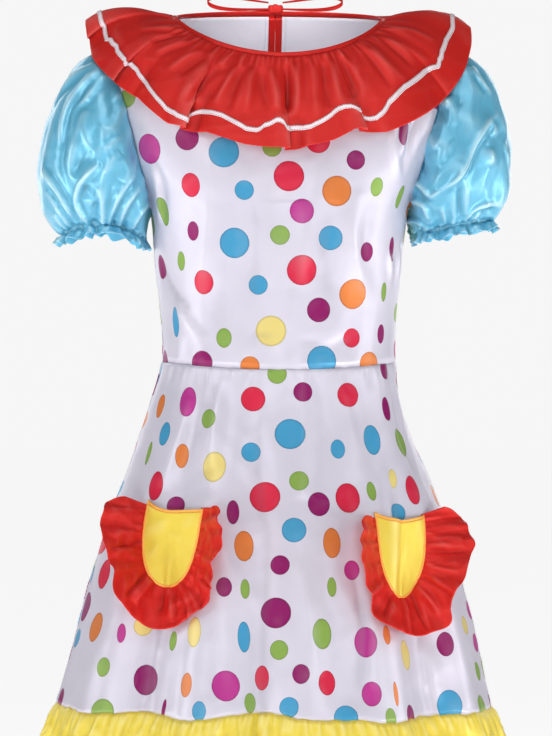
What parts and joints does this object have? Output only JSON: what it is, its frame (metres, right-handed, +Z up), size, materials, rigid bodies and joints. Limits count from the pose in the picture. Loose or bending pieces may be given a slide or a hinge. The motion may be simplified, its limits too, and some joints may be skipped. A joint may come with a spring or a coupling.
{
  "type": "clown dress",
  "caption": "Clown dress with puff sleeves, a gathered flounce collar, an A-line skirt with ruffled pouch pockets and a gathered hem ruffle, filled out as worn.",
  "frame": {"origin": "between the wearer's shoulders, level with the side of the neck, where the shoulders hold the dress up", "axes": "+Z up, -Y the way the wearer faces, +X to the wearer's left"},
  "size_m": [0.5907, 0.4286, 0.94],
  "materials": {
    "dotted_satin": "white satin printed with scattered round dots in several colours",
    "blue_satin": "sky-blue satin",
    "red_satin": "red satin",
    "yellow_satin": "yellow satin",
    "pale_ribbon": "pale woven ribbon"
  },
  "bodies": {
    "root": {"bodice_front": "dotted_satin", "bodice_back_left": "dotted_satin", "bodice_back_right": "dotted_satin", "skirt_front": "dotted_satin", "skirt_back": "dotted_satin", "sleeve_left": "blue_satin", "sleeve_right": "blue_satin", "hem_ruffle_front": "yellow_satin", "hem_ruffle_back": "yellow_satin", "pocket_left": "yellow_satin", "pocket_right": "yellow_satin", "pocket_ruffle_left": "red_satin", "pocket_ruffle_right": "red_satin", "collar": "red_satin", "neck_binding": "red_satin", "slit_binding_left": "red_satin", "slit_binding_right": "red_satin", "neck_tie_knot": "red_satin", "neck_tie_loop_left": "red_satin", "neck_tie_loop_right": "red_satin", "neck_tie_end_left": "red_satin", "neck_tie_end_right": "red_satin", "collar_ribbon": "pale_ribbon"}
  },
  "joints": []
}
